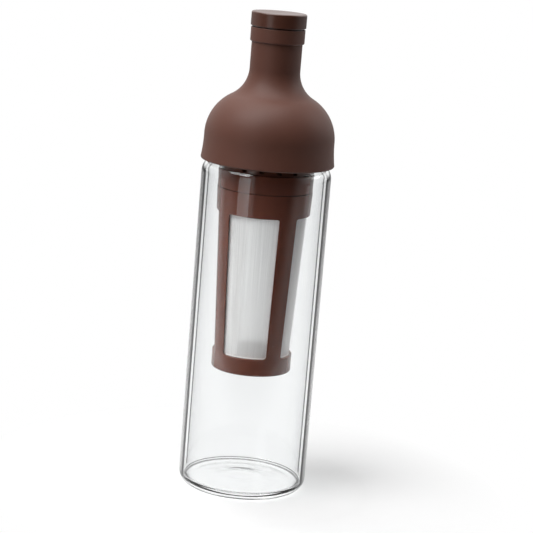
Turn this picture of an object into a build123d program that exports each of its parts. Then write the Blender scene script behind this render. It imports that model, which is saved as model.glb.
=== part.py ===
"""Cold brew coffee bottle with a lift-off silicone top and a hanging filter.

Millimetres. The origin is the middle of the bottle's underside, and +Z runs up the bottle's axis.
Levels are worked out from the glass upwards: the silicone sits on the glass rim, the filter hangs
inside the silicone, and the dome, neck, lip and stopper stand on one another.
"""

from build123d import *
import math
import os

# ---------------------------------------------------------------- fits
slip = 0.25                 # radial clearance between pieces that slide or turn on each other
mesh_fit = 0.05             # clearance round a mesh panel in its rebate

# ---------------------------------------------------------------- glass bottle
bottle_radius = 40.2
glass_wall = 2.4
shoulder_height = 200.0     # where the straight wall ends
shoulder_arc = 10.0         # outside radius of the shoulder
throat_arc = 4.0            # outside radius where the shoulder turns up into the neck
shoulder_link = 0.7         # short straight between the two
neck_inset = 4.6            # how far the neck stands in from the wall
rim_rise = 29.3             # rim above the start of the shoulder
rim_round = 0.9             # fire-polished rim
heel_arc = 7.6              # outside radius of the heel
inner_heel_arc = 2.2
foot_width = 1.6            # flat ring that the bottle stands on
foot_arc = 2.0
floor_height = 5.4          # inner floor beside the heel
floor_crown = 1.1           # further rise of the inner floor to its middle
push_up_height = 1.4        # hollow in the middle of the underside
push_up_slope = 20.0        # width of the slope that leads up to it
push_up_arc = 100.0

# ---------------------------------------------------------------- silicone top
skirt_rise = 8.0            # lower edge of the skirt above the start of the shoulder
skirt_mouth = 2.4           # how far the skirt's inside opens out towards its lower edge
skirt_mouth_height = 4.0
skirt_round = 0.9
flare_arc = 94.0            # hollow flare from the dome down to the skirt's edge
dome_proud = 0.1            # dome's widest radius over the bottle's
dome_below_rim = 6.0        # widest level of the dome below the glass rim
dome_arc = 28.8
dome_link = 1.0             # short straight between dome and neck
neck_arc = 19.2
spout_radius = 15.6
spout_wall = 3.1
spout_length = 16.6         # straight neck between dome and lip
lip_proud = 1.05
lip_height = 8.8
lip_round = 0.8
chamber_arc = 12.0          # inside turn of the dome
sleeve_wall = 2.4           # inner sleeve that holds the filter's ring
sleeve_rise = 2.5           # lower end of that sleeve above the skirt's edge
sleeve_length = 6.5         # free sleeve, below the thick part that seals inside the glass

# ---------------------------------------------------------------- stopper
groove_height = 0.8         # groove that shows between lip and cap
groove_depth = 1.8
cap_proud = 0.35            # cap's radius over the lip's
cap_height = 8.6
cap_round = 0.8
cap_crown = 3.4             # solid thickness of the cap over the hollow
plug_length = 19.5
plug_wall = 2.4
plug_slack = 0.5            # radial room round the plug, which its seal ribs take up
rib_section = 0.9           # radius of a seal rib's section
rib_count = 2
rib_rise = 4.2              # lower rib above the plug's end
rib_pitch = 6.0
nub_width = 1.3             # small nub in the groove
nub_reach = 1.5
nub_height = 0.5
nub_angle = -94.2

# ---------------------------------------------------------------- filter collar
filter_passage = 3.5        # room between the filter and the glass neck
filter_drop = 4.6           # collar's upper face below the skirt's edge
collar_height = 11.3
collar_inset = 0.25         # collar's radius under the basket's
collar_flare = 0.1          # widening of the collar towards its top
collar_round = 0.6
collar_floor = 1.8
collar_floor_rise = 1.1     # underside of the floor above the collar's lower edge
ring_inset = 1.8            # slotted ring in from the collar's edge
ring_wall = 1.8
ring_height = 17.8
bead_section = 0.6          # radius of the section of the bead round the ring
bead_proud = 0.2
bead_drop = 3.6             # bead below the ring's top
slot_count = 16
slot_angle = 6.0            # degrees
slot_rise = 1.0             # slots start this far above the collar's upper face
slot_height = 5.2
first_slot_angle = -118.5
spigot_length = 8.2
spigot_wall = 2.3

# ---------------------------------------------------------------- filter basket
parting_gap = 0.3           # open line between collar and basket
basket_length = 114.6
basket_taper = 4.7          # top radius less the cup's radius
basket_wall = 2.0           # round the socket
pillar_wall = 2.3           # below the socket, where the windows are
cup_height = 10.9           # solid cup under the windows
cup_straight = 9.3          # its upright wall, before the taper starts
cup_floor = 2.0
cup_hollow = 0.8            # recess in the cup's underside
cup_foot = 2.4              # ring left standing round that recess
cup_round = 1.0
cup_inner_round = 2.0
band_height = 14.7          # solid band over the windows
socket_depth = 9.2
window_count = 4
window_angle = 64.5         # degrees
window_top_round = 1.2
window_foot_round = 2.0
window_edge_round = 0.5     # rounding of the outer edges
front_window_angle = -101.9       # direction of the front window

# ---------------------------------------------------------------- bayonet
bayonet_count = 3
bayonet_angle = 9.0         # degrees
bayonet_height = 1.6
bayonet_depth = 1.2
bayonet_drop = 4.9          # nubs below the band's top edge
bayonet_turn = 30.0         # degrees that unlock the basket
bayonet_slack = 0.3         # room over a nub in its track
first_bayonet_angle = -60.0

# ---------------------------------------------------------------- mesh
mesh_recess = 1.7           # mesh behind the basket's outer face
mesh_thickness = 0.5
mesh_margin = 1.2           # how far a panel reaches behind its window's edge

# ---------------------------------------------------------------- drawing
soft_round = 0.4            # small edge rounding of the plastic and silicone
overcut = 1.0               # how far a cutting block runs past the face it cuts


def ogee_turn(inset, arcs, link):
    """Angle through which an arc, a straight and an opposite arc turn to step in by inset."""
    reach = math.hypot(arcs, link)
    return math.degrees(math.acos((arcs - inset) / reach) - math.atan2(link, arcs))


def ogee_rise(turn, arcs, link):
    """Height that such a step takes up."""
    angle = math.radians(turn)
    return arcs * math.sin(angle) + link * math.cos(angle)


def draw_ogee(start, convex, concave, link, turn):
    """Draws the step upwards from start: over the shoulder, along the link, up into the neck."""
    over = JernArc(start, (0, 1), convex, turn)
    ramp = PolarLine(over @ 1, link, 90 + turn)
    JernArc(ramp @ 1, ramp % 1, concave, -turn)


def upright_plane(direction):
    """Plane through the axis: its x points outwards along the direction, its y points up."""
    angle = math.radians(direction)
    outwards = (math.cos(angle), math.sin(angle), 0)
    return Plane(origin=(0, 0, 0), x_dir=outwards, z_dir=(math.sin(angle), -math.cos(angle), 0))


def facing_plane(direction, distance):
    """Plane that faces outwards along the direction: its x runs round the axis, its y points up."""
    angle = math.radians(direction)
    outwards = Vector(math.cos(angle), math.sin(angle), 0)
    return Plane(origin=outwards * distance, x_dir=(-math.sin(angle), math.cos(angle), 0), z_dir=outwards)


def sector(start, sweep, inner, outer, low, high):
    """Block between two radii and two heights, part of the way round the axis."""
    with BuildPart() as block:
        with BuildSketch(upright_plane(start)):
            with Locations(((inner + outer) / 2, (low + high) / 2)):
                Rectangle(outer - inner, high - low)
        revolve(axis=Axis.Z, revolution_arc=sweep)
    return block.part


def save(piece, name):
    """Labels a finished piece and writes it."""
    piece.part.label = name
    export_step(piece.part, f"parts/{name}.step")


# ---------------------------------------------------------------- levels and radii, bottom to top
neck_radius = bottle_radius - neck_inset
neck_bore = neck_radius - glass_wall
rim_height = shoulder_height + rim_rise
shoulder_turn = ogee_turn(neck_inset, shoulder_arc + throat_arc, shoulder_link)
neck_height = shoulder_height + ogee_rise(shoulder_turn, shoulder_arc + throat_arc, shoulder_link)

skirt_height = shoulder_height + skirt_rise
dome_radius = bottle_radius + dome_proud
dome_height = rim_height - dome_below_rim
dome_turn = ogee_turn(dome_radius - spout_radius, dome_arc + neck_arc, dome_link)
spout_height = dome_height + ogee_rise(dome_turn, dome_arc + neck_arc, dome_link)
spout_bore = spout_radius - spout_wall
lip_radius = spout_radius + lip_proud
lip_foot = spout_height + spout_length
lip_top = lip_foot + lip_height

basket_radius = neck_bore - filter_passage
collar_radius = basket_radius - collar_inset
collar_top = skirt_height - filter_drop
collar_foot = collar_top - collar_height
floor_foot = collar_foot + collar_floor_rise
ring_radius = collar_radius - ring_inset
ring_bore = ring_radius - ring_wall
ring_top = collar_top + ring_height
bead_place = (ring_radius + bead_proud - bead_section, ring_top - bead_drop)

band_top = collar_foot - parting_gap
basket_foot = band_top - basket_length
cup_radius = basket_radius - basket_taper
taper_foot = basket_foot + cup_straight
window_foot = basket_foot + cup_height
window_top = band_top - band_height
socket_radius = basket_radius - basket_wall
spigot_radius = socket_radius - slip
spigot_foot = collar_foot - spigot_length
bayonet_level = band_top - bayonet_drop
bayonet_radius = socket_radius - bayonet_depth


def basket_face(height):
    """Radius of the basket's tapered outer face."""
    return cup_radius + basket_taper * (height - taper_foot) / (band_top - taper_foot)


def glass_bottle():
    """Straight glass wall on a rounded heel, with a shoulder, a neck and a raised floor."""
    heel_foot = bottle_radius - heel_arc
    slope_foot = heel_foot - foot_width
    middle = slope_foot - push_up_slope
    inside = bottle_radius - glass_wall
    floor_middle = floor_height + floor_crown
    with BuildPart() as bottle:
        with BuildSketch(Plane.XZ):
            with BuildLine():
                FilletPolyline(
                    (0, push_up_height),
                    (middle, push_up_height),
                    (slope_foot, 0),
                    (bottle_radius, 0),
                    (bottle_radius, shoulder_height),
                    radius=[push_up_arc, foot_arc, heel_arc],
                )
                draw_ogee(
                    (bottle_radius, shoulder_height), shoulder_arc, throat_arc, shoulder_link, shoulder_turn
                )
                FilletPolyline(
                    (neck_radius, neck_height),
                    (neck_radius, rim_height),
                    (neck_bore, rim_height),
                    (neck_bore, neck_height),
                    radius=rim_round,
                )
                draw_ogee(
                    (inside, shoulder_height),
                    shoulder_arc - glass_wall,
                    throat_arc + glass_wall,
                    shoulder_link,
                    shoulder_turn,
                )
                FilletPolyline(
                    (inside, shoulder_height),
                    (inside, floor_height),
                    (heel_foot, floor_height),
                    (middle, floor_middle),
                    (0, floor_middle),
                    radius=[inner_heel_arc, push_up_arc, push_up_arc],
                )
                Line((0, floor_middle), (0, push_up_height))
            make_face()
        revolve(axis=Axis.Z)
    return bottle


def spout_top():
    """Silicone bell, neck and lip, with the channel for the glass rim and the filter's seat."""
    flare_turn = math.degrees(math.asin((dome_height - skirt_height) / flare_arc))
    chamber_radius = ring_radius - ring_wall / 2
    chamber_arcs = chamber_arc + neck_arc + spout_wall
    chamber_turn = ogee_turn(chamber_radius - spout_bore, chamber_arcs, dome_link)
    chamber_height = spout_height - ogee_rise(chamber_turn, chamber_arcs, dome_link)
    seal_radius = neck_bore - slip
    grip_radius = neck_radius + slip
    sleeve_bore = ring_radius + slip
    sleeve_radius = sleeve_bore + sleeve_wall
    sleeve_foot = skirt_height + sleeve_rise
    seal_foot = sleeve_foot + sleeve_length
    with BuildPart() as top:
        with BuildSketch(Plane.XZ):
            with BuildLine():
                flare = JernArc((dome_radius, dome_height), (0, -1), flare_arc, flare_turn)
                draw_ogee((dome_radius, dome_height), dome_arc, neck_arc, dome_link, dome_turn)
                FilletPolyline(
                    (spout_radius, spout_height),
                    (spout_radius, lip_foot),
                    (lip_radius, lip_foot),
                    (lip_radius, lip_top),
                    (spout_bore, lip_top),
                    (spout_bore, spout_height),
                    radius=[0, lip_round, soft_round, lip_round],
                )
                draw_ogee(
                    (chamber_radius, chamber_height),
                    chamber_arc,
                    neck_arc + spout_wall,
                    dome_link,
                    chamber_turn,
                )
                FilletPolyline(
                    (chamber_radius, chamber_height),
                    (chamber_radius, ring_top),
                    (sleeve_bore, ring_top),
                    (sleeve_bore, sleeve_foot),
                    (sleeve_radius, sleeve_foot),
                    (sleeve_radius, seal_foot),
                    (seal_radius, seal_foot),
                    (seal_radius, rim_height),
                    (grip_radius, rim_height),
                    (grip_radius, skirt_height + skirt_mouth_height),
                    (grip_radius + skirt_mouth, skirt_height),
                    flare @ 1,
                    radius=[
                        0, 0, soft_round, lip_round, lip_round, lip_round,
                        rim_round, rim_round, skirt_mouth, soft_round,
                    ],
                )
            make_face()
        revolve(axis=Axis.Z)
        skirt_edges = top.edges().filter_by(GeomType.CIRCLE).group_by(Axis.Z)[0]
        fillet(skirt_edges.sort_by(SortBy.RADIUS)[-1], skirt_round)
        # Groove that the bead of the filter's ring lies in.
        with BuildSketch(Plane.XZ):
            with Locations(bead_place):
                Circle(bead_section + slip)
        revolve(axis=Axis.Z, mode=Mode.SUBTRACT)
    return top


def stopper():
    """Cap disc on a hollow plug with seal ribs, and a small nub in the groove under the cap."""
    cap_foot = lip_top + groove_height
    cap_top = cap_foot + cap_height
    cap_radius = lip_radius + cap_proud
    seat_radius = lip_radius - groove_depth
    plug_radius = spout_bore - plug_slack
    plug_foot = lip_top - plug_length
    hollow_radius = plug_radius - plug_wall
    hollow_top = cap_top - cap_crown
    with BuildPart() as cap:
        with BuildSketch(Plane.XZ):
            with BuildLine():
                FilletPolyline(
                    (0, cap_top),
                    (cap_radius, cap_top),
                    (cap_radius, cap_foot),
                    (seat_radius, cap_foot),
                    (seat_radius, lip_top),
                    (plug_radius, lip_top),
                    (plug_radius, plug_foot),
                    (hollow_radius, plug_foot),
                    (hollow_radius, hollow_top),
                    (0, hollow_top),
                    radius=[cap_round, soft_round, 0, 0, soft_round, cap_round, soft_round, plug_wall],
                )
                Line((0, cap_top), (0, hollow_top))
            make_face()
            for rib in range(rib_count):
                with Locations((spout_bore - slip - rib_section, plug_foot + rib_rise + rib_pitch * rib)):
                    Circle(rib_section)
        revolve(axis=Axis.Z)
        with BuildSketch(upright_plane(nub_angle)):
            with Locations((seat_radius, cap_foot - nub_height / 2)):
                Rectangle(2 * nub_reach, nub_height)
        extrude(amount=nub_width / 2, both=True)
    return cap


def filter_collar():
    """Lid of the filter: closed floor, slotted pouring ring above, bayonet spigot below."""
    spigot_bore = spigot_radius - spigot_wall
    floor_top = floor_foot + collar_floor
    with BuildPart() as collar:
        with BuildSketch(Plane.XZ):
            with BuildLine():
                FilletPolyline(
                    (0, floor_foot),
                    (spigot_bore, floor_foot),
                    (spigot_bore, spigot_foot),
                    (spigot_radius, spigot_foot),
                    (spigot_radius, collar_foot),
                    (collar_radius, collar_foot),
                    (collar_radius + collar_flare, collar_top),
                    (ring_radius, collar_top),
                    (ring_radius, ring_top),
                    (ring_bore, ring_top),
                    (ring_bore, floor_top),
                    (0, floor_top),
                    radius=[
                        collar_floor / 2, soft_round, soft_round, 0, soft_round, collar_round,
                        soft_round, soft_round, soft_round, collar_floor,
                    ],
                )
                Line((0, floor_foot), (0, floor_top))
            make_face()
            with Locations(bead_place):
                Circle(bead_section)
        revolve(axis=Axis.Z)
        # Pouring slots through the ring, just above the collar's upper face.
        slot_foot = collar_top + slot_rise
        for turn in range(slot_count):
            slot = sector(
                first_slot_angle + turn * 360 / slot_count - slot_angle / 2,
                slot_angle,
                ring_bore - overcut,
                ring_radius + overcut,
                slot_foot,
                slot_foot + slot_height,
            )
            add(slot, mode=Mode.SUBTRACT)
        # L-shaped bayonet tracks: a level run that carries the nub, and an upright entry at its end.
        track_floor = bayonet_level - bayonet_height / 2
        track_width = bayonet_angle + 2 * math.degrees(slip / spigot_radius)
        track_radius = bayonet_radius - slip
        for nub in range(bayonet_count):
            track_start = first_bayonet_angle + nub * 360 / bayonet_count - track_width / 2
            level_run = sector(
                track_start,
                bayonet_turn + track_width,
                track_radius,
                spigot_radius + overcut,
                track_floor,
                track_floor + bayonet_height + bayonet_slack,
            )
            entry = sector(
                track_start + bayonet_turn,
                track_width,
                track_radius,
                spigot_radius + overcut,
                spigot_foot - overcut,
                bayonet_level,
            )
            add(level_run, mode=Mode.SUBTRACT)
            add(entry, mode=Mode.SUBTRACT)
    return collar


def window_prism(direction, margin):
    """Solid block out through one window, wider all round by margin, with its rounded corners."""
    half_angle = math.radians(window_angle / 2)
    low = window_foot - margin
    high = window_top + margin
    half_low = basket_face(window_foot) * math.sin(half_angle) + margin
    half_high = basket_face(window_top) * math.sin(half_angle) + margin
    with BuildPart() as prism:
        with BuildSketch(facing_plane(direction, cup_radius / 3)) as outline:
            with BuildLine():
                Polyline((-half_low, low), (half_low, low), (half_high, high), (-half_high, high), close=True)
            make_face()
            fillet(outline.vertices().group_by(Axis.Y)[0], window_foot_round)
            fillet(outline.vertices().group_by(Axis.Y)[-1], window_top_round)
        extrude(amount=basket_radius)
    return prism.part


def mesh_core(recess, margin):
    """Solid cone that ends at the given depth behind the basket's tapered face."""
    low = window_foot - margin
    high = window_top + margin
    with BuildPart() as core:
        with BuildSketch(Plane.XZ):
            with BuildLine():
                Polyline(
                    (0, low),
                    (basket_face(low) - recess, low),
                    (basket_face(high) - recess, high),
                    (0, high),
                    close=True,
                )
            make_face()
        revolve(axis=Axis.Z)
    return core.part


def on_tapered_face(edge):
    """True for an edge round a window, on the basket's outer face."""
    for point in (edge @ 0, edge @ 0.5, edge @ 1):
        if abs(math.hypot(point.X, point.Y) - basket_face(point.Z)) > slip / 10:
            return False
        if not window_foot - slip < point.Z < window_top + slip:
            return False
    return True


def filter_basket():
    """One moulding: socketed band, four pillars, base cup, with a rebate behind each window."""
    inner_top = basket_face(band_top - socket_depth) - pillar_wall
    inner_foot = cup_radius - pillar_wall
    hollow_radius = cup_radius - cup_foot
    hollow_top = basket_foot + cup_hollow
    floor_top = hollow_top + cup_floor
    pillar = front_window_angle + 180 / window_count
    with BuildPart() as basket:
        # The section is drawn in the middle of a pillar, so that the seam crosses no window.
        with BuildSketch(upright_plane(pillar)):
            with BuildLine():
                FilletPolyline(
                    (0, hollow_top),
                    (hollow_radius - cup_hollow, hollow_top),
                    (hollow_radius, basket_foot),
                    (cup_radius, basket_foot),
                    (cup_radius, taper_foot),
                    (basket_radius, band_top),
                    (socket_radius, band_top),
                    (socket_radius, band_top - socket_depth),
                    (inner_top, band_top - socket_depth),
                    (inner_foot, taper_foot),
                    (inner_foot, floor_top),
                    (0, floor_top),
                    radius=[
                        soft_round, soft_round, cup_round, basket_radius, soft_round, soft_round,
                        0, 0, basket_radius, cup_inner_round,
                    ],
                )
                Line((0, hollow_top), (0, floor_top))
            make_face()
        revolve(axis=Axis.Z)
        rebate_core = mesh_core(mesh_recess, 2 * mesh_margin)
        for window in range(window_count):
            direction = front_window_angle + window * 360 / window_count
            add(window_prism(direction, 0), mode=Mode.SUBTRACT)
            add(window_prism(direction, mesh_margin) & rebate_core, mode=Mode.SUBTRACT)
        fillet(basket.edges().filter_by(on_tapered_face), window_edge_round)
        for nub in range(bayonet_count):
            block = sector(
                first_bayonet_angle + nub * 360 / bayonet_count - bayonet_angle / 2,
                bayonet_angle,
                bayonet_radius,
                socket_radius + basket_wall / 4,
                bayonet_level - bayonet_height / 2,
                bayonet_level + bayonet_height / 2,
            )
            add(block)
    return basket


def mesh_panel(direction):
    """One curved panel of fine mesh, lying in the rebate behind its window."""
    outer = mesh_recess + mesh_fit
    with BuildPart() as panel:
        add(window_prism(direction, mesh_margin - mesh_fit))
        add(mesh_core(outer, mesh_margin), mode=Mode.INTERSECT)
        add(mesh_core(outer + mesh_thickness, mesh_margin + overcut), mode=Mode.SUBTRACT)
    return panel


os.makedirs("parts", exist_ok=True)
save(glass_bottle(), "glass_bottle")
save(spout_top(), "spout_top")
save(stopper(), "stopper")
save(filter_collar(), "filter_collar")
save(filter_basket(), "filter_basket")
for window, side in enumerate(("front", "right", "rear", "left")):
    save(mesh_panel(front_window_angle + window * 360 / window_count), f"mesh_{side}")
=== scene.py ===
"""Cold brew coffee bottle, dressed: clear glass, brown silicone, filter plastic and fine mesh.

Dimensions are in millimetres, as in the part's source, and become metres where a mesh is made.
Materials, floor, lamps and camera are in metres.
"""

import math

import bmesh
import bpy
from mathutils import Matrix, Vector


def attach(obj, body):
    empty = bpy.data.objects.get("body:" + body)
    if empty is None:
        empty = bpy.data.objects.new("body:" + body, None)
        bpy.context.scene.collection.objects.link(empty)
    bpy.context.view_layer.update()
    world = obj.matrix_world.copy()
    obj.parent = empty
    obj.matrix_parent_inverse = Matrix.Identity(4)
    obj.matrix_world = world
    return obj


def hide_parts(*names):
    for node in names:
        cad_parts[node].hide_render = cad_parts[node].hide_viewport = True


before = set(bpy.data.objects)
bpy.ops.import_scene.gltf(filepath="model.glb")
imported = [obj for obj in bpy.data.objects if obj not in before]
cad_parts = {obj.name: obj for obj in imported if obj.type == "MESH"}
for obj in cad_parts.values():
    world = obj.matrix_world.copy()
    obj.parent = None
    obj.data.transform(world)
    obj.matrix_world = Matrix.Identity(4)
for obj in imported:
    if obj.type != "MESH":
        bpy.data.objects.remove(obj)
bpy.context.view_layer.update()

MM = 0.001
ROUND = 256                 # segments round the axis
BELL_ROUND = 128            # the same for the silicone bell
GLASS_STEPS = 16            # steps along an arc of the glass
DOME_STEPS = 40             # along each of the dome's two arcs
FLARE_STEPS = 8             # along the skirt's flare
RIB_STEPS = 5               # along half a rib of the plug
TRACK_STEPS = 24            # along a groove of the bayonet
WINDOW_STEPS = (26, 44)     # across and up a window of the basket
PANEL_STEPS = (48, 80)      # across and up a mesh panel
SECTOR_STEPS = 10           # from a quarter's edge to its window
RIM_STEPS = 4               # round a window's edge
SHARP_TURN = 35.0           # edges that turn by more degrees stay sharp
SAME_POINT = 0.002          # points that are nearer become one
REPEATED_POINT = 0.01       # the same along a profile

# ---------------------------------------------------------------- fits
slip = 0.25
mesh_fit = 0.05

# ---------------------------------------------------------------- glass bottle
bottle_radius = 40.2
glass_wall = 2.4
shoulder_height = 200.0
shoulder_arc = 10.0
throat_arc = 4.0
shoulder_link = 0.7
neck_inset = 4.6
rim_rise = 29.3
rim_round = 0.9
heel_arc = 7.6
inner_heel_arc = 2.2
foot_width = 1.6
foot_arc = 2.0
floor_height = 5.4
floor_crown = 1.1
push_up_height = 1.4
push_up_slope = 20.0
push_up_arc = 100.0

# ---------------------------------------------------------------- silicone top
skirt_rise = 8.0
skirt_mouth = 2.4
skirt_mouth_height = 4.0
skirt_round = 0.9
flare_arc = 94.0
dome_proud = 0.1
dome_below_rim = 6.0
dome_arc = 28.8
dome_link = 1.0
neck_arc = 19.2
spout_radius = 15.6
spout_wall = 3.1
spout_length = 16.6
lip_proud = 1.05
lip_height = 8.8
lip_round = 0.8
chamber_arc = 12.0
sleeve_wall = 2.4
sleeve_rise = 2.5
sleeve_length = 6.5

# ---------------------------------------------------------------- stopper
groove_height = 0.8
groove_depth = 1.8
cap_proud = 0.35
cap_height = 8.6
cap_round = 0.8
cap_crown = 3.4
plug_length = 19.5
plug_wall = 2.4
plug_slack = 0.5
rib_section = 0.9
rib_count = 2
rib_rise = 4.2
rib_pitch = 6.0
nub_width = 1.3
nub_reach = 1.5
nub_height = 0.5
nub_angle = -94.2

# ---------------------------------------------------------------- filter collar
filter_passage = 3.5
filter_drop = 4.6
collar_height = 11.3
collar_inset = 0.25
collar_flare = 0.1
collar_round = 0.6
collar_floor = 1.8
collar_floor_rise = 1.1
ring_inset = 1.8
ring_wall = 1.8
ring_height = 17.8
bead_section = 0.6
bead_proud = 0.2
bead_drop = 3.6
slot_count = 16
slot_angle = 6.0
slot_rise = 1.0
slot_height = 5.2
first_slot_angle = -118.5
spigot_length = 8.2
spigot_wall = 2.3

# ---------------------------------------------------------------- filter basket
parting_gap = 0.3
basket_length = 114.6
basket_taper = 4.7
basket_wall = 2.0
pillar_wall = 2.3
cup_height = 10.9
cup_straight = 9.3
cup_floor = 2.0
cup_hollow = 0.8
cup_foot = 2.4
cup_round = 1.0
cup_inner_round = 2.0
band_height = 14.7
socket_depth = 9.2
window_count = 4
window_angle = 64.5
window_top_round = 1.2
window_foot_round = 2.0
window_edge_round = 0.5
front_window_angle = -101.9

# ---------------------------------------------------------------- bayonet
bayonet_count = 3
bayonet_angle = 9.0
bayonet_height = 1.6
bayonet_depth = 1.2
bayonet_drop = 4.9
bayonet_turn = 30.0
bayonet_slack = 0.3
first_bayonet_angle = -60.0

# ---------------------------------------------------------------- mesh
mesh_recess = 1.7
mesh_thickness = 0.5
mesh_margin = 1.2
mesh_rim = 0.45             # solid edge of a panel that shows inside its window
mesh_rim_fade = 0.5

soft_round = 0.4
fine_round = 0.3
overcut = 1.0


def ogee_turn(inset, arcs, link):
    """Angle through which an arc, a straight and an opposite arc turn to step in by inset."""
    reach = math.hypot(arcs, link)
    return math.degrees(math.acos((arcs - inset) / reach) - math.atan2(link, arcs))


def ogee_rise(turn, arcs, link):
    """Height that such a step takes up."""
    angle = math.radians(turn)
    return arcs * math.sin(angle) + link * math.cos(angle)


# ---------------------------------------------------------------- levels and radii, bottom to top
neck_radius = bottle_radius - neck_inset
neck_bore = neck_radius - glass_wall
rim_height = shoulder_height + rim_rise
shoulder_arcs = shoulder_arc + throat_arc
shoulder_turn = ogee_turn(neck_inset, shoulder_arcs, shoulder_link)
neck_height = shoulder_height + ogee_rise(shoulder_turn, shoulder_arcs, shoulder_link)

skirt_height = shoulder_height + skirt_rise
dome_radius = bottle_radius + dome_proud
dome_height = rim_height - dome_below_rim
dome_turn = ogee_turn(dome_radius - spout_radius, dome_arc + neck_arc, dome_link)
spout_height = dome_height + ogee_rise(dome_turn, dome_arc + neck_arc, dome_link)
spout_bore = spout_radius - spout_wall
lip_radius = spout_radius + lip_proud
lip_foot = spout_height + spout_length
lip_top = lip_foot + lip_height

basket_radius = neck_bore - filter_passage
collar_radius = basket_radius - collar_inset
collar_top = skirt_height - filter_drop
collar_foot = collar_top - collar_height
floor_foot = collar_foot + collar_floor_rise
ring_radius = collar_radius - ring_inset
ring_bore = ring_radius - ring_wall
ring_top = collar_top + ring_height
bead_height = ring_top - bead_drop

band_top = collar_foot - parting_gap
basket_foot = band_top - basket_length
cup_radius = basket_radius - basket_taper
taper_foot = basket_foot + cup_straight
window_foot = basket_foot + cup_height
window_top = band_top - band_height
socket_foot = band_top - socket_depth
socket_radius = basket_radius - basket_wall
spigot_radius = socket_radius - slip
spigot_foot = collar_foot - spigot_length
bayonet_level = band_top - bayonet_drop
bayonet_radius = socket_radius - bayonet_depth
inner_foot = cup_radius - pillar_wall


def basket_face(height):
    """Radius of the basket's tapered outer face."""
    return cup_radius + basket_taper * (height - taper_foot) / (band_top - taper_foot)


inner_top = basket_face(socket_foot) - pillar_wall


def basket_inside(height):
    """Radius of the basket's inner face."""
    climb = (height - taper_foot) / (socket_foot - taper_foot)
    return inner_foot + (inner_top - inner_foot) * climb


def around(first, count):
    """Directions in degrees, evenly round the axis from the first."""
    return [first + turn * 360 / count for turn in range(count)]


# ---------------------------------------------------------------- drawing in a plane
def corner_arc(before, corner, after, radius, steps):
    """Points of the arc that rounds the corner between two straight runs."""
    corner = Vector(corner)
    back = (Vector(before) - corner).normalized()
    ahead = (Vector(after) - corner).normalized()
    half = back.angle(ahead) / 2
    centre = corner + (back + ahead).normalized() * radius / math.sin(half)
    reach = radius / math.tan(half)
    start = corner + back * reach - centre
    end = corner + ahead * reach - centre
    begin = math.atan2(start.y, start.x)
    turn = (math.atan2(end.y, end.x) - begin + math.pi) % (2 * math.pi) - math.pi
    angles = [begin + turn * step / steps for step in range(steps + 1)]
    return [(centre.x + radius * math.cos(a), centre.y + radius * math.sin(a)) for a in angles]


def rounded(corners, radii, steps=8):
    """An open line through the corners, each inner corner rounded by its radius."""
    line = [corners[0]]
    for index, radius in enumerate(radii, 1):
        if radius:
            line += corner_arc(*corners[index - 1:index + 2], radius, steps)
        else:
            line.append(corners[index])
    return line + [corners[-1]]


def ogee(start, convex, concave, link, turn, steps=28):
    """A step upwards from start: a convex arc, a short straight and a concave arc."""
    angle = math.radians(turn)
    radius, height = start
    directions = [
        (math.cos(angle * k / steps), math.sin(angle * k / steps)) for k in range(steps + 1)
    ]
    over = [(radius - convex + convex * x, height + convex * y) for x, y in directions]
    foot = (over[-1][0] - link * math.sin(angle), over[-1][1] + link * math.cos(angle))
    centre = (foot[0] + concave * math.cos(angle), foot[1] + concave * math.sin(angle))
    up = [(centre[0] - concave * x, centre[1] - concave * y) for x, y in reversed(directions)]
    return over + up


def without_repeats(line):
    """A line without repeated points."""
    kept = [line[0]]
    for point in line[1:]:
        if math.dist(point, kept[-1]) > REPEATED_POINT:
            kept.append(point)
    return kept


# ---------------------------------------------------------------- meshes
def new_object(name, data):
    """An object of the scene."""
    made = bpy.data.objects.new(name, data)
    bpy.context.scene.collection.objects.link(made)
    return made


def make_object(name, points, faces):
    """A mesh object from points in millimetres."""
    mesh = bpy.data.meshes.new(name)
    mesh.from_pydata([tuple(c * MM for c in point) for point in points], [], faces)
    mesh.update()
    return new_object(name, mesh)


def finish_mesh(piece, body, cad_node, material):
    """Makes a mesh object a piece of the part, with clean faces and smooth shading."""
    mesh = piece.data
    work = bmesh.new()
    work.from_mesh(mesh)
    bmesh.ops.remove_doubles(work, verts=work.verts, dist=SAME_POINT * MM)
    bmesh.ops.recalc_face_normals(work, faces=work.faces)
    for face in work.faces:
        face.smooth = True
    for edge in work.edges:
        if len(edge.link_faces) == 2:
            edge.smooth = edge.calc_face_angle(0) < math.radians(SHARP_TURN)
    work.to_mesh(mesh)
    work.free()
    weighted = piece.modifiers.new("even_shading", "WEIGHTED_NORMAL")
    weighted.mode = "FACE_AREA"
    weighted.weight = 50
    weighted.keep_sharp = True
    mesh.materials.clear()
    mesh.materials.append(material)
    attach(piece, body)
    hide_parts(cad_node)


def turned(profile, angles, closed=False):
    """Points and faces of a profile swept over the angles, all the way round the axis."""
    points, rings, faces = [], [], []
    for radius, height in profile:
        if radius < 1e-6:
            rings.append([len(points)] * len(angles))
            points.append((0.0, 0.0, height))
        else:
            rings.append(list(range(len(points), len(points) + len(angles))))
            points += [(radius * math.cos(a), radius * math.sin(a), height) for a in angles]
    pairs = list(zip(rings, rings[1:]))
    if closed:
        pairs.append((rings[-1], rings[0]))
    for low, high in pairs:
        for k in range(len(angles)):
            n = (k + 1) % len(angles)
            corners = list(dict.fromkeys((low[k], low[n], high[n], high[k])))
            if len(corners) > 2:
                faces.append(corners)
    return points, faces


def revolve(name, profile, closed=False, segments=ROUND):
    """An object turned from a profile in even steps, with flats towards +X and +Y."""
    angles = [2 * math.pi * (k + 0.5) / segments for k in range(segments)]
    return make_object(name, *turned(without_repeats(profile), angles, closed))


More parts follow.
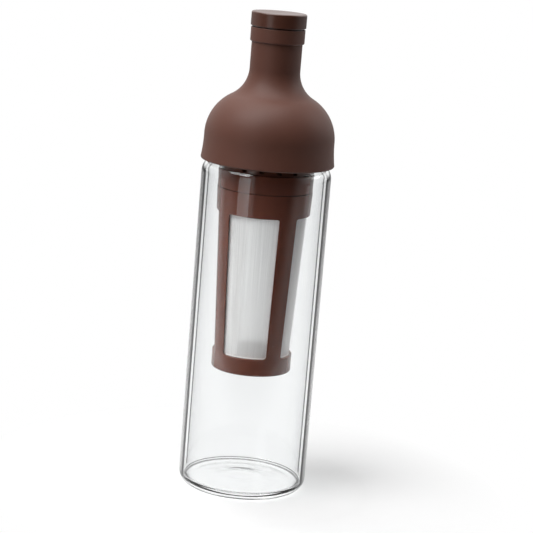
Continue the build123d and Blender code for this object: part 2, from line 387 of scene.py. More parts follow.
def sector_block(start, sweep, inner, outer, low, high, steps=6):
    """Points and faces of a block between two radii and two heights, part of the way round."""
    points, faces = [], []
    for k in range(steps + 1):
        a = math.radians(start + sweep * k / steps)
        for radius, height in ((inner, low), (outer, low), (outer, high), (inner, high)):
            points.append((radius * math.cos(a), radius * math.sin(a), height))
    for k in range(steps):
        for side in range(4):
            ahead = (side + 1) % 4
            faces.append((4 * k + side, 4 * k + ahead, 4 * k + 4 + ahead, 4 * k + 4 + side))
    faces.append((0, 1, 2, 3))
    faces.append((4 * steps + 3, 4 * steps + 2, 4 * steps + 1, 4 * steps))
    return points, faces


def joined(parts):
    """Several (points, faces) as one."""
    points, faces = [], []
    for more_points, more_faces in parts:
        faces += [[index + len(points) for index in face] for face in more_faces]
        points += more_points
    return points, faces


def cut(piece, blocks):
    """Cuts blocks out of a piece for good."""
    cutter = make_object(piece.name + "_cutter", *joined(blocks))
    for mesh in (cutter.data, piece.data):
        work = bmesh.new()
        work.from_mesh(mesh)
        bmesh.ops.recalc_face_normals(work, faces=work.faces)
        work.to_mesh(mesh)
        work.free()
    boolean = piece.modifiers.new("cut", "BOOLEAN")
    boolean.operation = "DIFFERENCE"
    boolean.solver = "EXACT"
    boolean.object = cutter
    bpy.context.view_layer.update()
    graph = bpy.context.evaluated_depsgraph_get()
    result = bpy.data.meshes.new_from_object(piece.evaluated_get(graph))
    piece.modifiers.clear()
    piece.data = result
    bpy.data.objects.remove(cutter)


# ---------------------------------------------------------------- nodes
WHITE, BLACK = (1.0, 1.0, 1.0, 1.0), (0.0, 0.0, 0.0, 1.0)
NOISE_LOW, NOISE_HIGH = 0.3, 0.7        # between these lies nearly all of a noise


def node(tree, kind, inputs=None, **settings):
    """Adds a shader node. Its inputs are values, or the sockets that feed them."""
    made = tree.nodes.new("ShaderNode" + kind)
    for name, value in settings.items():
        setattr(made, name, value)
    for name, value in (inputs or {}).items():
        if isinstance(value, bpy.types.NodeSocket):
            tree.links.new(value, made.inputs[name])
        else:
            made.inputs[name].default_value = value
    return made


def maths(tree, operation, *values, clamp=False):
    """The result of a sum with one or two values."""
    inputs = dict(enumerate(values))
    return node(tree, "Math", inputs, operation=operation, use_clamp=clamp).outputs["Value"]


def mixed(tree, factor, first, second):
    """A number between two others."""
    return node(tree, "Mix", {"Factor": factor, "A": first, "B": second}).outputs["Result"]


def mixed_colour(tree, factor, first, second):
    """A colour between two others. A Mix node has its colours at sockets 6 and 7, and 2."""
    return node(tree, "Mix", {0: factor, 6: first, 7: second}, data_type="RGBA").outputs[2]


def mixed_shader(tree, factor, first, second):
    """A shader between two others."""
    return node(tree, "MixShader", {0: factor, 1: first, 2: second}).outputs["Shader"]


def ramp(tree, factor, stops):
    """Colours by factor, from (position, colour) stops."""
    made = node(tree, "ValToRGB", {"Fac": factor})
    elements = made.color_ramp.elements
    while len(elements) < len(stops):
        elements.new(0.5)
    for element, (position, colour) in zip(elements, stops):
        element.position = position
        element.color = (*colour, 1)
    return made.outputs["Color"]


def ranged(tree, value, low, high, to_low, to_high):
    """A value moved from one range to another, and held inside it."""
    inputs = {
        "Value": value, "From Min": low, "From Max": high, "To Min": to_low, "To Max": to_high,
    }
    return node(tree, "MapRange", inputs).outputs["Result"]


def about(tree, cloud, middle, change):
    """A number that noise moves up and down from its middle."""
    return ranged(tree, cloud, NOISE_LOW, NOISE_HIGH, middle - change, middle + change)


def shade(colour, factor):
    """A colour made lighter or darker."""
    return tuple(channel * factor for channel in colour)


def clouded(tree, cloud, colour, change):
    """A colour that noise makes lighter and darker by a share of itself."""
    return ramp(tree, cloud, [
        (NOISE_LOW, shade(colour, 1 - change)),
        (NOISE_HIGH, shade(colour, 1 + change)),
    ])


def new_material(name):
    """An empty node material: (material, tree, output, object coordinates)."""
    material = bpy.data.materials.new(name)
    material.use_nodes = True
    tree = material.node_tree
    tree.nodes.clear()
    output = node(tree, "OutputMaterial")
    place = node(tree, "TexCoord").outputs["Object"]
    return material, tree, output, place


def stretched(tree, place, scale):
    """Coordinates scaled by direction, for grain that runs along one of them."""
    return node(tree, "Mapping", {"Vector": place, "Scale": scale}).outputs["Vector"]


def noise(tree, place, scale=1.0, detail=2.0, roughness=0.5):
    """Noise of about 1 / scale metres."""
    inputs = {"Vector": place, "Scale": scale, "Detail": detail, "Roughness": roughness}
    return node(tree, "TexNoise", inputs).outputs["Fac"]


def bumped(tree, height, strength, distance):
    """The surface's direction, disturbed by a height."""
    inputs = {"Strength": strength, "Distance": distance, "Height": height}
    return node(tree, "Bump", inputs).outputs["Normal"]


# ---------------------------------------------------------------- materials
def soft_silicone(name, colour, roughness, index, streaks):
    """Matte silicone: faint clouding, a fine moulded grain and a soft bloom at the edges."""
    material, tree, output, place = new_material(name)
    cloud = noise(tree, place, scale=22.0, detail=3.0, roughness=0.55)
    grain = noise(tree, place, scale=2600.0)
    lines = noise(tree, stretched(tree, place, (900.0, 40.0, 40.0)))
    height = mixed(tree, streaks, grain, lines)
    shader = node(tree, "BsdfPrincipled", {
        "Base Color": clouded(tree, cloud, colour, 0.07),
        "Roughness": about(tree, cloud, roughness, 0.04),
        "IOR": index,
        "Sheen Weight": 0.04,
        "Sheen Roughness": 0.4,
        "Sheen Tint": (0.95, 0.85, 0.8, 1),
        "Normal": bumped(tree, height, strength=0.12, distance=0.0001),
    })
    tree.links.new(shader.outputs["BSDF"], output.inputs["Surface"])
    return material


def gloss_plastic(name, colour):
    """Glossy moulded polypropylene: slight flow clouding and a faint ripple in the shine."""
    material, tree, output, place = new_material(name)
    cloud = noise(tree, place, scale=30.0)
    ripple = noise(tree, stretched(tree, place, (90.0, 90.0, 25.0)))
    shader = node(tree, "BsdfPrincipled", {
        "Base Color": clouded(tree, cloud, colour, 0.05),
        "Roughness": about(tree, ripple, 0.18, 0.03),
        "IOR": 1.49,
        "Normal": bumped(tree, ripple, strength=0.05, distance=0.0005),
    })
    tree.links.new(shader.outputs["BSDF"], output.inputs["Surface"])
    return material


# The glass's colour where light crosses it, from square on (0) to edge on (1). The wall's outer
# face has a painted grey shade and a painted dark line near the edge, standing for dark
# surroundings seen in the glass, and its inner face has one thin painted dark line.
CLEAR = (0.98, 0.99, 0.99)
OUTER_PAINTED_SHADE = [
    (0.0, (0.94, 0.945, 0.95)),
    (0.2, (0.93, 0.935, 0.94)),
    (0.3, (0.89, 0.895, 0.9)),
    (0.35, (0.84, 0.845, 0.85)),
    (0.41, (0.76, 0.765, 0.775)),
    (0.46, (0.68, 0.685, 0.695)),
    (0.513, (0.6, 0.605, 0.615)),
    (0.55, (0.6, 0.605, 0.61)),
    (0.57, CLEAR),
    (0.62, CLEAR),
    (0.63, (0.0, 0.0, 0.0)),
    (0.71, (0.0, 0.0, 0.0)),
    (0.73, (0.12, 0.12, 0.12)),
    (0.9, (0.2, 0.2, 0.2)),
    (1.0, (0.85, 0.86, 0.86)),
]
INNER_PAINTED_LINE = [
    (0.0, CLEAR),
    (0.635, CLEAR),
    (0.645, (0.03, 0.03, 0.03)),
    (0.695, (0.03, 0.03, 0.03)),
    (0.71, CLEAR),
]
# Its colour on level faces, by how far they face up (1), with a painted dark ring where the floor
# bends, standing for shadow seen through the glass.
FLOOR_PAINTED_RING = [
    (0.0, (0.97, 0.98, 0.98)),
    (0.75, (0.97, 0.98, 0.98)),
    (0.79, (0.02, 0.02, 0.02)),
    (0.9, (0.02, 0.02, 0.02)),
    (0.95, (0.97, 0.98, 0.98)),
]
SHADOW_TINT = (0.98, 0.985, 0.985, 1)
FACE_PARTING = (0.0385, 0.0395)         # radii between the wall's inner and outer face, metres


def edge_on(tree):
    """0 where an upright wall is seen square on and 1 where it is seen edge on, at any height."""
    axis = node(tree, "CombineXYZ", {"Z": 1.0}).outputs["Vector"]
    upright = node(
        tree, "VectorTransform", {"Vector": axis},
        vector_type="NORMAL", convert_from="OBJECT", convert_to="WORLD",
    ).outputs["Vector"]
    off_wall = node(tree, "LayerWeight", {"Blend": 0.5}).outputs["Facing"]
    off_axis = node(tree, "LayerWeight", {"Blend": 0.5, "Normal": upright}).outputs["Facing"]
    square = maths(tree, "SUBTRACT", 1.0, off_wall)
    steep = maths(tree, "SUBTRACT", 1.0, off_axis)
    across = maths(tree, "SUBTRACT", 1.0, maths(tree, "POWER", steep, 2.0))
    across = maths(tree, "SQRT", maths(tree, "MAXIMUM", across, 0.05))
    return maths(tree, "SUBTRACT", 1.0, maths(tree, "DIVIDE", square, across), clamp=True)


def clear_glass(name):
    """Clear glass: faint waviness, a trace of smudging, painted shade and dark lines where the
    walls are seen edge on, and a painted dark ring where the floor bends.
    """
    material, tree, output, place = new_material(name)
    wave = noise(tree, stretched(tree, place, (26.0, 26.0, 9.0)), detail=1.0)
    smudge = noise(tree, place, scale=45.0, detail=3.0)
    edge = edge_on(tree)
    flat_place = stretched(tree, place, (1.0, 1.0, 0.0))
    radius = node(tree, "VectorMath", {0: flat_place}, operation="LENGTH").outputs["Value"]
    outside = ranged(tree, radius, *FACE_PARTING, 0.0, 1.0)
    # painted shade and painted dark lines, by how edge on the wall is seen
    wall = mixed_colour(tree, outside, ramp(tree, edge, INNER_PAINTED_LINE), ramp(tree, edge, OUTER_PAINTED_SHADE))
    normal = node(tree, "TexCoord").outputs["Normal"]
    facing_up = node(tree, "SeparateXYZ", {"Vector": normal}).outputs["Z"]
    level = ranged(tree, maths(tree, "ABSOLUTE", facing_up), 0.3, 0.7, 0.0, 1.0)
    # level faces take the painted dark ring of the floor, upright walls their painted shade
    shader = node(tree, "BsdfPrincipled", {
        "Base Color": mixed_colour(tree, level, wall, ramp(tree, facing_up, FLOOR_PAINTED_RING)),
        "Roughness": ranged(tree, smudge, 0.35, 0.75, 0.0, 0.025),
        "IOR": 1.47,
        "Transmission Weight": 1.0,
        "Normal": bumped(tree, wave, strength=0.04, distance=0.001),
    })
    lamps = node(tree, "LightPath").outputs["Is Shadow Ray"]
    through = node(tree, "BsdfTransparent", {"Color": SHADOW_TINT})
    both = mixed_shader(tree, lamps, shader.outputs["BSDF"], through.outputs["BSDF"])
    tree.links.new(both, output.inputs["Surface"])
    return material


def fine_mesh(name, colour, cover):
    """Fine woven mesh: threads run up and round, slightly streaked, and light passes between.

    Only faces that are seen from their front show, so a closed panel is one woven layer.
    """
    material, tree, output, place = new_material(name)
    parts = node(tree, "SeparateXYZ", {"Vector": place}).outputs
    angle = maths(tree, "ARCTAN2", parts["Y"], parts["X"])
    along = node(tree, "CombineXYZ", {"X": angle, "Y": parts["Z"]}).outputs["Vector"]
    streak = noise(tree, stretched(tree, along, (70.0, 9.0, 1.0)), detail=4.0, roughness=0.7)
    warp, weft = (
        node(tree, "TexWave", {"Vector": stretched(tree, along, stretch), "Scale": 30.0},
             bands_direction=direction).outputs["Fac"]
        for stretch, direction in (((1.0, 0.0, 0.0), "X"), ((0.0, 40.0, 0.0), "Y"))
    )
    tone = ramp(tree, streak, [
        (NOISE_LOW, shade(colour, 0.93)),
        (0.5, colour),
        (NOISE_HIGH, shade(colour, 1.04)),
    ])
    rim = node(tree, "Attribute", attribute_name="rim").outputs["Fac"]
    woven = mixed(tree, rim, about(tree, streak, cover, 0.07), 1.0)
    far_side = node(tree, "NewGeometry").outputs["Backfacing"]
    weave = maths(tree, "ADD", warp, weft)
    shader = node(tree, "BsdfPrincipled", {
        "Base Color": tone,
        "Roughness": 0.6,
        "Sheen Weight": 0.8,
        "Sheen Roughness": 0.5,
        "Alpha": mixed(tree, far_side, woven, 0.0),
        "Normal": bumped(tree, weave, strength=0.2, distance=0.00005),
    })
    tree.links.new(shader.outputs["BSDF"], output.inputs["Surface"])
    return material


silicone_colour = (0.096, 0.037, 0.025)
stopper_colour = (0.074, 0.027, 0.017)
plastic_colour = (0.118, 0.038, 0.024)
mesh_colour = (0.97, 0.97, 0.965)

glass = clear_glass("clear_glass")
bell_silicone = soft_silicone(
    "soft_silicone", silicone_colour, roughness=0.52, index=1.35, streaks=0.0)
stopper_silicone = soft_silicone(
    "satin_silicone", stopper_colour, roughness=0.32, index=1.5, streaks=0.35)
plastic = gloss_plastic("gloss_plastic", plastic_colour)
mesh_material = fine_mesh("fine_mesh", mesh_colour, cover=0.6)


# ---------------------------------------------------------------- glass bottle
def build_glass():
    """The bottle: outside from the foot up, over the rim, and inside down to the floor."""
    heel_foot = bottle_radius - heel_arc
    slope_foot = heel_foot - foot_width
    middle = slope_foot - push_up_slope
    inside = bottle_radius - glass_wall
    floor_middle = floor_height + floor_crown
    line = rounded(
        [(0, push_up_height), (middle, push_up_height), (slope_foot, 0), (bottle_radius, 0),
         (bottle_radius, shoulder_height)],
        [push_up_arc, foot_arc, heel_arc], GLASS_STEPS,
    )
    line += ogee(
        (bottle_radius, shoulder_height), shoulder_arc, throat_arc,
        shoulder_link, shoulder_turn, GLASS_STEPS,
    )
    line += rounded(
        [(neck_radius, neck_height), (neck_radius, rim_height), (neck_bore, rim_height),
         (neck_bore, neck_height)],
        [rim_round, rim_round],
    )
    line += ogee(
        (inside, shoulder_height), shoulder_arc - glass_wall, throat_arc + glass_wall,
        shoulder_link, shoulder_turn, GLASS_STEPS,
    )[::-1]
    line += rounded(
        [(inside, shoulder_height), (inside, floor_height), (heel_foot, floor_height),
         (middle, floor_middle), (0, floor_middle)],
        [inner_heel_arc, push_up_arc, push_up_arc], GLASS_STEPS,
    )
    finish_mesh(revolve("glass", line), "bottle", "glass_bottle", glass)


# ---------------------------------------------------------------- silicone top
def build_top():
    """The bell: outside from the skirt up, over the lip, and inside round the glass rim."""
    flare_turn = math.asin((dome_height - skirt_height) / flare_arc)
    chamber_radius = ring_radius - ring_wall / 2
    chamber_arcs = chamber_arc + neck_arc + spout_wall
    chamber_turn = ogee_turn(chamber_radius - spout_bore, chamber_arcs, dome_link)
    chamber_height = spout_height - ogee_rise(chamber_turn, chamber_arcs, dome_link)
    seal_radius = neck_bore - slip
    grip_radius = neck_radius + slip
    sleeve_bore = ring_radius + slip
    sleeve_radius = sleeve_bore + sleeve_wall
    sleeve_foot = skirt_height + sleeve_rise
    seal_foot = sleeve_foot + sleeve_length
    flare = [
        (dome_radius + flare_arc * (1 - math.cos(flare_turn * k / FLARE_STEPS)),
         dome_height - flare_arc * math.sin(flare_turn * k / FLARE_STEPS))
        for k in range(FLARE_STEPS, 0, -1)
    ]
    mouth = (grip_radius + skirt_mouth, skirt_height)
    line = rounded([mouth, flare[0], flare[1]], [skirt_round])[1:-1]
    line += flare[1:]
    line += ogee(
        (dome_radius, dome_height), dome_arc, neck_arc, dome_link, dome_turn, DOME_STEPS)
    line += rounded(
        [(spout_radius, spout_height), (spout_radius, lip_foot), (lip_radius, lip_foot),
         (lip_radius, lip_top), (spout_bore, lip_top), (spout_bore, spout_height)],
        [0, lip_round, soft_round, lip_round],
    )
    line += ogee(
        (chamber_radius, chamber_height), chamber_arc, neck_arc + spout_wall,
        dome_link, chamber_turn,
    )[::-1]
    line += rounded(
        [(chamber_radius, chamber_height), (chamber_radius, ring_top), (sleeve_bore, ring_top),
         (sleeve_bore, bead_height + bead_section), (sleeve_bore + bead_proud, bead_height),
         (sleeve_bore, bead_height - bead_section), (sleeve_bore, sleeve_foot),
         (sleeve_radius, sleeve_foot), (sleeve_radius, seal_foot), (seal_radius, seal_foot),
         (seal_radius, rim_height), (grip_radius, rim_height),
         (grip_radius, skirt_height + skirt_mouth_height), mouth],
        [0, 0, 0, 0, 0, soft_round, lip_round, lip_round, lip_round, rim_round, rim_round,
         skirt_mouth],
    )
    piece = revolve("silicone_bell", line, closed=True, segments=BELL_ROUND)
    finish_mesh(piece, "top", "spout_top", bell_silicone)


# ---------------------------------------------------------------- stopper
def build_stopper():
    """The cap and its plug, from the middle of the top round to the hollow, and the nub."""
    cap_foot = lip_top + groove_height
    cap_top = cap_foot + cap_height
    cap_radius = lip_radius + cap_proud
    seat_radius = lip_radius - groove_depth
    plug_radius = spout_bore - plug_slack
    plug_foot = lip_top - plug_length
    hollow_radius = plug_radius - plug_wall
    hollow_top = cap_top - cap_crown
    rib_centre = spout_bore - slip - rib_section
    reach = math.acos((plug_radius - rib_centre) / rib_section)
    line = rounded(
        [(0, cap_top), (cap_radius, cap_top), (cap_radius, cap_foot), (seat_radius, cap_foot),
         (seat_radius, lip_top), (plug_radius, lip_top),
         (plug_radius, plug_foot + 2 * rib_pitch)],
        [cap_round, soft_round, 0, 0, soft_round],
    )
    for rib in reversed(range(rib_count)):
        middle = plug_foot + rib_rise + rib_pitch * rib
        for k in range(RIB_STEPS, -RIB_STEPS - 1, -1):
            a = reach * k / RIB_STEPS
            line.append(
                (rib_centre + rib_section * math.cos(a), middle + rib_section * math.sin(a)))
    line += rounded(
        [(plug_radius, plug_foot + rib_rise / 2), (plug_radius, plug_foot),
         (hollow_radius, plug_foot), (hollow_radius, hollow_top), (0, hollow_top)],
        [cap_round, soft_round, plug_wall],
    )
    angles = [2 * math.pi * k / ROUND for k in range(ROUND)]
    half_turn = math.degrees(nub_width / 2 / seat_radius)
    nub = sector_block(
        nub_angle - half_turn, 2 * half_turn, seat_radius - nub_reach, seat_radius + nub_reach,
        cap_foot - nub_height, cap_foot + nub_height / 2,
    )
    piece = make_object("stopper_cap", *joined([turned(without_repeats(line), angles), nub]))
    finish_mesh(piece, "cap", "stopper", stopper_silicone)


# ---------------------------------------------------------------- filter collar
def build_collar():
    """The filter's lid: floor, spigot with the bayonet's grooves, and ring with its slots."""
    spigot_bore = spigot_radius - spigot_wall
    floor_top = floor_foot + collar_floor
    line = rounded(
        [(0, floor_foot), (spigot_bore, floor_foot), (spigot_bore, spigot_foot),
         (spigot_radius, spigot_foot), (spigot_radius, collar_foot), (collar_radius, collar_foot),
         (collar_radius + collar_flare, collar_top), (ring_radius, collar_top),
         (ring_radius, bead_height - bead_section), (ring_radius + bead_proud, bead_height),
         (ring_radius, bead_height + bead_section), (ring_radius, ring_top),
         (ring_bore, ring_top), (ring_bore, floor_top), (0, floor_top)],
        [collar_floor / 2, soft_round, soft_round, 0, soft_round, collar_round, soft_round, 0,
         fine_round, 0, soft_round, soft_round, collar_floor],
        steps=6,
    )
    piece = revolve("collar_lid", line)
    slot_foot = collar_top + slot_rise
    cut(piece, [
        sector_block(middle - slot_angle / 2, slot_angle, ring_bore - overcut,
                     ring_radius + overcut, slot_foot, slot_foot + slot_height)
        for middle in around(first_slot_angle, slot_count)
    ])
    track_floor = bayonet_level - bayonet_height / 2
    track_top = track_floor + bayonet_height + bayonet_slack
    track_angle = bayonet_angle + 2 * math.degrees(slip / spigot_radius)
    track = (bayonet_radius - slip, spigot_radius + overcut)
    starts = [nub - track_angle / 2 for nub in around(first_bayonet_angle, bayonet_count)]
    cut(piece, [
        sector_block(start, bayonet_turn + track_angle, *track, track_floor, track_top,
                     TRACK_STEPS)
        for start in starts
    ])
    cut(piece, [
        sector_block(start + bayonet_turn, track_angle, *track, spigot_foot - overcut,
                     bayonet_level)
        for start in starts
    ])
    finish_mesh(piece, "collar", "filter_collar", plastic)


# ---------------------------------------------------------------- windows of the basket
def spread(steps, crowding=0.6):
    """Fractions from 0 to 1 that lie closer together at both ends."""
    return [
        k / steps - crowding * math.sin(2 * math.pi * k / steps) / (2 * math.pi)
        for k in range(steps + 1)
    ]


def window_sides(offset, grow, counts, bends=4):
    """A window's outline, widened by offset, as four open sides that meet inside the corners.

    Bottom runs to the right, right runs up, top runs to the left, left runs down; points are
    (across, height). grow is added to the rounding of the corners, and counts are the steps
    along level and upright sides.
    """
    half = math.sin(math.radians(window_angle / 2))
    half_low = basket_face(window_foot) * half + offset
    half_high = basket_face(window_top) * half + offset
    low, high = window_foot - offset, window_top + offset
    corners = [(-half_low, low), (half_low, low), (half_high, high), (-half_high, high)]
    radii = [window_foot_round, window_foot_round, window_top_round, window_top_round]
    arcs = [
        corner_arc(corners[k - 1], corners[k], corners[(k + 1) % 4], radii[k] + grow, 2 * bends)
        for k in range(4)
    ]
    sides = []
    for k in range(4):
        ahead = (k + 1) % 4
        start, end = arcs[k][-1], arcs[ahead][0]
        run = [
            (start[0] + (end[0] - start[0]) * t, start[1] + (end[1] - start[1]) * t)
            for t in spread(counts[k % 2])[1:-1]
        ]
        sides.append(arcs[k][bends:] + run + arcs[ahead][:bends + 1])
    return sides


def as_loop(sides):
    """Four sides as one closed loop."""
    return [point for side in sides for point in side[:-1]]


def placed(across, height, radius, depth, direction):
    """Point beside a window's middle line: on the face of that radius, and depth further in."""
    angle = math.radians(direction)
    out = math.sqrt(radius * radius - across * across) - depth
    return (
        out * math.cos(angle) - across * math.sin(angle),
        out * math.sin(angle) + across * math.cos(angle),
        height,
    )


def recessed(outline, depth, direction):
    """Points of a window on the cone that lies depth inside the basket's outer face."""
    return [placed(x, z, basket_face(z) - depth, 0, direction) for x, z in outline]


def edge_shares(sides):
    """Where each point of a loop starts on its quarter's edge: (share of half angle, of height)."""
    shares = []
    for k, side in enumerate(sides):
        for across, height in side[:-1]:
            if k % 2 == 0:
                shares.append((across / side[-1 if k == 0 else 0][0], k / 2))
            else:
                first, last = side[0][1], side[-1][1]
                climb = (height - min(first, last)) / abs(last - first)
                shares.append((1 if k == 1 else -1, climb))
    return shares


def sector_grid(direction, face, sides, shares, low, high):
    """Loops on one face of a quarter of the basket, from its edges to a window's outline."""
    outline = as_loop(sides)
    half = math.pi / window_count
    loops = []
    for k in range(SECTOR_STEPS + 1):
        t = k / SECTOR_STEPS
        loop = []
        for (across, height), (angle_share, height_share) in zip(outline, shares):
            edge_angle, edge_height = half * angle_share, low + (high - low) * height_share
            angle = edge_angle + (math.asin(across / face(height)) - edge_angle) * t
            level = edge_height + (height - edge_height) * t
            across_here = face(level) * math.sin(angle)
            loop.append(placed(across_here, level, face(level), 0, direction))
        loops.append(loop)
    return loops


def window_quarter(direction, base, shares):
    """A quarter of the basket round one window: outer face, rounded edge, rebate, inner face."""
    edge = window_edge_round
    widened = window_sides(edge, edge, WINDOW_STEPS)
    loops = sector_grid(
        direction, basket_face, widened, shares, taper_foot, band_top - soft_round)
    for k in range(1, RIM_STEPS + 1):
        bend = math.pi / 2 * k / RIM_STEPS
        offset = edge * (1 - math.sin(bend))
        depth = edge * (1 - math.cos(bend))
        outline = as_loop(window_sides(offset, offset, WINDOW_STEPS))
        loops.append([placed(x, z, basket_face(z), depth, direction) for x, z in outline])
    rebate = window_sides(mesh_margin, 0, WINDOW_STEPS)
    loops.append(recessed(as_loop(base), mesh_recess, direction))
    loops.append(recessed(as_loop(rebate), mesh_recess, direction))
    loops += sector_grid(
        direction, basket_inside, rebate, shares, taper_foot, socket_foot)[::-1]
    count = len(loops[0])
    points = [point for loop in loops for point in loop]
    faces = []
    for k in range(len(loops) - 1):
        for n in range(count):
            here, ahead = k * count + n, k * count + (n + 1) % count
            faces.append((here, ahead, ahead + count, here + count))
    return points, faces


def ring_angles(shares):
    """Angles all round the axis, with the same shares of every quarter."""
    half = math.pi / window_count
    return [
        math.radians(direction) + half * share
        for direction in around(front_window_angle, window_count)
        for share in shares[:-1]
    ]


# ---------------------------------------------------------------- filter basket
def build_basket():
    """The basket: four quarters with windows, and the band and the cup that join them."""
    base = window_sides(0, 0, WINDOW_STEPS)
    shares = edge_shares(base)
    level_count = len(base[0]) - 1
    top_start = level_count + len(base[1]) - 1
    foot_shares = [share for share, _ in shares[:level_count]] + [1.0]
    top_shares = [share for share, _ in shares[top_start:][:level_count]] + [-1.0]
    parts = [
        window_quarter(direction, base, shares)
        for direction in around(front_window_angle, window_count)
    ]
    # The band over the windows and the cup under them have the same points round the axis.
    band_edge = band_top - soft_round
    band = rounded(
        [(basket_face(band_edge), band_edge), (basket_radius, band_top),
         (socket_radius, band_top), (socket_radius, socket_foot), (inner_top, socket_foot)],
        [fine_round, soft_round, 0], steps=6,
    )
    hollow_radius = cup_radius - cup_foot
    hollow_top = basket_foot + cup_hollow
    floor_top = hollow_top + cup_floor
    cup = rounded(
        [(cup_radius, taper_foot), (cup_radius, basket_foot), (hollow_radius, basket_foot),
         (hollow_radius - cup_hollow, hollow_top), (0, hollow_top)],
        [cup_round, soft_round, soft_round],
    )
    inside = rounded(
        [(inner_foot, taper_foot), (inner_foot, floor_top), (0, floor_top)], [cup_inner_round])
    parts.append(turned(band, ring_angles(top_shares[::-1])))
    parts.append(turned(cup, ring_angles(foot_shares)))
    parts.append(turned(inside, ring_angles(foot_shares)))
    for nub in around(first_bayonet_angle, bayonet_count):
        parts.append(sector_block(
            nub - bayonet_angle / 2, bayonet_angle, bayonet_radius,
            socket_radius + basket_wall / 4, bayonet_level - bayonet_height / 2,
            bayonet_level + bayonet_height / 2,
        ))
    piece = make_object("basket_frame", *joined(parts))
    finish_mesh(piece, "basket", "filter_basket", plastic)


# ---------------------------------------------------------------- mesh panels
def patch(sides):
    """A grid of points inside four sides, with the sides as its edges."""
    bottom, right = sides[0], sides[1]
    top, left = sides[2][::-1], sides[3][::-1]
    rows = []
    for j in range(len(right)):
        v = j / (len(right) - 1)
        row = []
        for i in range(len(bottom)):
            u = i / (len(bottom) - 1)
            row.append(tuple(
                (1 - v) * bottom[i][axis] + v * top[i][axis]
                + (1 - u) * left[j][axis] + u * right[j][axis]
                - (1 - u) * (1 - v) * bottom[0][axis] - u * (1 - v) * bottom[-1][axis]
                - (1 - u) * v * top[0][axis] - u * v * top[-1][axis]
                for axis in (0, 1)
            ))
        rows.append(row)
    return rows


def inside_window(across, height):
    """How far a point lies inside the window's outline; less than 0 behind the frame."""
    half = basket_face(height) * math.sin(math.radians(window_angle / 2))
    return min(half - abs(across), height - window_foot, window_top - height)


def build_panel(name, cad_node, direction):
    """A closed sheet in a window's rebate. Its rim attribute is 1 where the mesh has no gaps."""
    rows = patch(window_sides(mesh_margin - mesh_fit, 0, PANEL_STEPS))
    wide, tall = len(rows[0]), len(rows)
    count = wide * tall
    front_depth = mesh_recess + mesh_fit
    points = [
        point
        for depth in (front_depth, front_depth + mesh_thickness)
        for row in rows
        for point in recessed(row, depth, direction)
    ]
    faces = []
    for j in range(tall - 1):
        for i in range(wide - 1):
            a = j * wide + i
            quad = (a, a + 1, a + 1 + wide, a + wide)
            faces.append(quad)
            faces.append(tuple(count + n for n in quad[::-1]))
    edge = list(range(wide))
    edge += [j * wide + wide - 1 for j in range(1, tall)]
    edge += [(tall - 1) * wide + i for i in range(wide - 2, -1, -1)]
    edge += [j * wide for j in range(tall - 2, 0, -1)]
    for a, b in zip(edge, edge[1:] + edge[:1]):
        faces.append((a, count + a, count + b, b))
    piece = make_object(name, points, faces)
    values = [
        min(1.0, max(0.0, 1.0 - (inside_window(x, z) - mesh_rim) / mesh_rim_fade))
        for row in rows for x, z in row
    ] * 2
    rim = piece.data.attributes.new("rim", "FLOAT", "POINT")
    rim.data.foreach_set("value", values)
    finish_mesh(piece, "basket", cad_node, mesh_material)


build_glass()
build_top()
build_stopper()
build_collar()
build_basket()
window_directions = around(front_window_angle, window_count)
for side, direction in zip(("front", "right", "rear", "left"), window_directions):
    build_panel("screen_" + side, "mesh_" + side, direction)


# ---------------------------------------------------------------- floor and room
def sight(tree):
    """Two numbers: 1 for rays from the camera, and 1 for those that went on through glass."""
    rays = node(tree, "LightPath").outputs
    scattered = maths(tree, "ADD", rays["Diffuse Depth"], rays["Glossy Depth"])
    direct = maths(tree, "LESS_THAN", scattered, 0.5)
    return rays["Is Camera Ray"], maths(tree, "MULTIPLY", rays["Is Transmission Ray"], direct)


WHITE_FROM, WHITE_AT = 0.08, 0.17       # distance at which the floor turns into plain white
TABLE_END, TABLE_START = -0.3, -0.17    # Y between which the floor comes out of the dark
DARK_TABLE = 0.03                       # share of its colour that it keeps there


def pale_floor(name, colour):
    """Floor that keeps the object's shadow and is plain white further out, where it is seen.

    In front, outside the picture, it ends in the dark of the room, which the part mirrors.
    """
    material, tree, output, place = new_material(name)
    reach = node(tree, "VectorMath", {0: place}, operation="LENGTH").outputs["Value"]
    far = ranged(tree, reach, WHITE_FROM, WHITE_AT, 0.0, 1.0)
    front = node(tree, "SeparateXYZ", {"Vector": place}).outputs["Y"]
    table = ranged(tree, front, TABLE_END, TABLE_START, DARK_TABLE, 1.0)
    speck = noise(tree, place, scale=60.0, detail=3.0)
    tone = mixed_colour(tree, table, BLACK, clouded(tree, speck, colour, 0.005))
    matte = node(tree, "BsdfDiffuse", {"Color": tone}).outputs["BSDF"]
    white = node(tree, "Emission", {"Color": WHITE, "Strength": 1.0}).outputs["Emission"]
    straight, through = sight(tree)
    seen = maths(tree, "MAXIMUM", maths(tree, "MULTIPLY", straight, far), through)
    tree.links.new(mixed_shader(tree, seen, matte, white), output.inputs["Surface"])
    return material


ROOM_FRONT, ROOM_BACK = 0.0, 0.5        # light of the room in front of the part and behind it
MIRRORED_BACK = 1.0                     # the same behind it, where it is mirrored
ROOM_LOW, ROOM_HIGH = -0.4, 0.4         # headings along Y between which one becomes the other


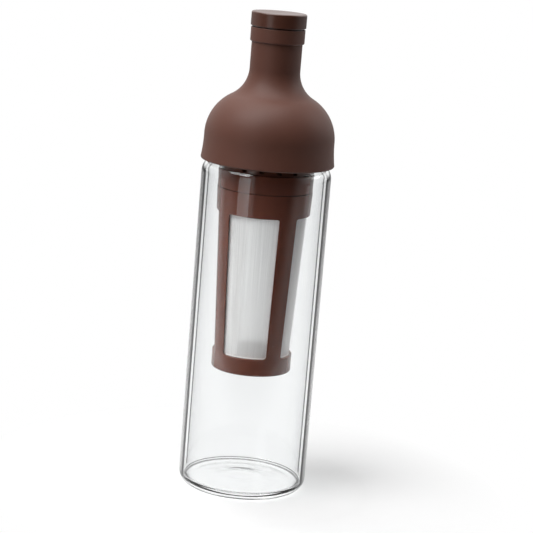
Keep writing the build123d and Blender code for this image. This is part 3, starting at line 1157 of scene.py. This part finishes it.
def studio_room(name):
    """Surroundings that are plain white where they are seen, and dark in front of the part."""
    world = bpy.data.worlds.new(name)
    world.use_nodes = True
    tree = world.node_tree
    tree.nodes.clear()
    generated = node(tree, "TexCoord").outputs["Generated"]
    heading = node(tree, "SeparateXYZ", {"Vector": generated}).outputs["Y"]
    lit = ranged(tree, heading, ROOM_LOW, ROOM_HIGH, ROOM_FRONT, ROOM_BACK)
    mirrored = ranged(tree, heading, ROOM_LOW, ROOM_HIGH, ROOM_FRONT, MIRRORED_BACK)
    glossy = node(tree, "LightPath").outputs["Is Glossy Ray"]
    strength = mixed(tree, glossy, lit, mirrored)
    surround, backdrop = (
        node(tree, "Background", {"Color": WHITE, "Strength": level}).outputs["Background"]
        for level in (strength, 1.0)
    )
    seen = maths(tree, "MAXIMUM", *sight(tree))
    output = node(tree, "OutputWorld")
    tree.links.new(mixed_shader(tree, seen, surround, backdrop), output.inputs["Surface"])
    return world


FLOOR_REACH = 14.0
FLOOR_SINK = 0.0001
floor_corners = ((-1, -1), (1, -1), (1, 1), (-1, 1))
floor_mesh = bpy.data.meshes.new("floor")
floor_mesh.from_pydata(
    [(x * FLOOR_REACH, y * FLOOR_REACH, -FLOOR_SINK) for x, y in floor_corners],
    [], [(0, 1, 2, 3)],
)
floor_mesh.materials.append(pale_floor("pale_floor", (0.69, 0.69, 0.69)))
floor = new_object("floor", floor_mesh)

bpy.context.scene.world = studio_room("studio")


# ---------------------------------------------------------------- lamps
def lamp(name, azimuth, elevation, distance, width, height, power, aim):
    """A soft rectangular lamp that faces the part. Azimuth 0 is in front, and grows rightwards."""
    data = bpy.data.lights.new(name, "AREA")
    data.shape = "RECTANGLE"
    data.size, data.size_y = width, height
    data.energy = power
    made = new_object(name, data)
    a, e = math.radians(azimuth), math.radians(elevation)
    away = Vector((math.sin(a) * math.cos(e), -math.cos(a) * math.cos(e), math.sin(e)))
    made.location = Vector((0, 0, aim)) + away * distance
    made.rotation_mode = "QUATERNION"
    made.rotation_quaternion = away.to_track_quat("Z", "Y")
    made.visible_camera = False


# Name, azimuth, elevation, distance, width, height, power, and the height that it is aimed at.
LAMPS = (
    ("key", -36, 0, 0.36, 0.13, 0.35, 0.18, 0.185),
    ("left", -58, 52, 1.3, 0.8, 0.6, 12.4, 0.15),
    ("top", -25, 80, 1.3, 0.8, 0.8, 11.5, 0.15),
    ("rear", -150, 65, 1.3, 0.9, 0.9, 4.0, 0.15),
    ("right", 110, 35, 1.5, 0.6, 0.8, 3.2, 0.15),
)
for settings in LAMPS:
    lamp(*settings)

bpy.context.scene.view_settings.view_transform = "Standard"

# ---------------------------------------------------------------- camera
# It stands a little above the part and is tilted sideways, so the part leans in the picture.
camera_place = Vector((0.0, -1.1809, 0.3891))
camera_turns = (11.813, 0.233, 4.749)   # down, to the right, and sideways, degrees
pitch, yaw, roll = (math.radians(turn) for turn in camera_turns)
forward = Vector((math.sin(yaw) * math.cos(pitch), math.cos(yaw) * math.cos(pitch),
                  -math.sin(pitch)))
level_right = Vector((math.cos(yaw), -math.sin(yaw), 0))
level_up = level_right.cross(forward)
right = level_right * math.cos(roll) + level_up * math.sin(roll)
up = level_up * math.cos(roll) - level_right * math.sin(roll)
camera_data = bpy.data.cameras.new("camera")
camera_data.sensor_width = 36.0
camera_data.lens = 130.41
camera_data.clip_start, camera_data.clip_end = 0.05, 60.0
camera = new_object("camera", camera_data)
facing = Matrix((right, up, -forward)).transposed().to_4x4()
camera.matrix_world = Matrix.Translation(camera_place) @ facing
bpy.context.scene.camera = camera
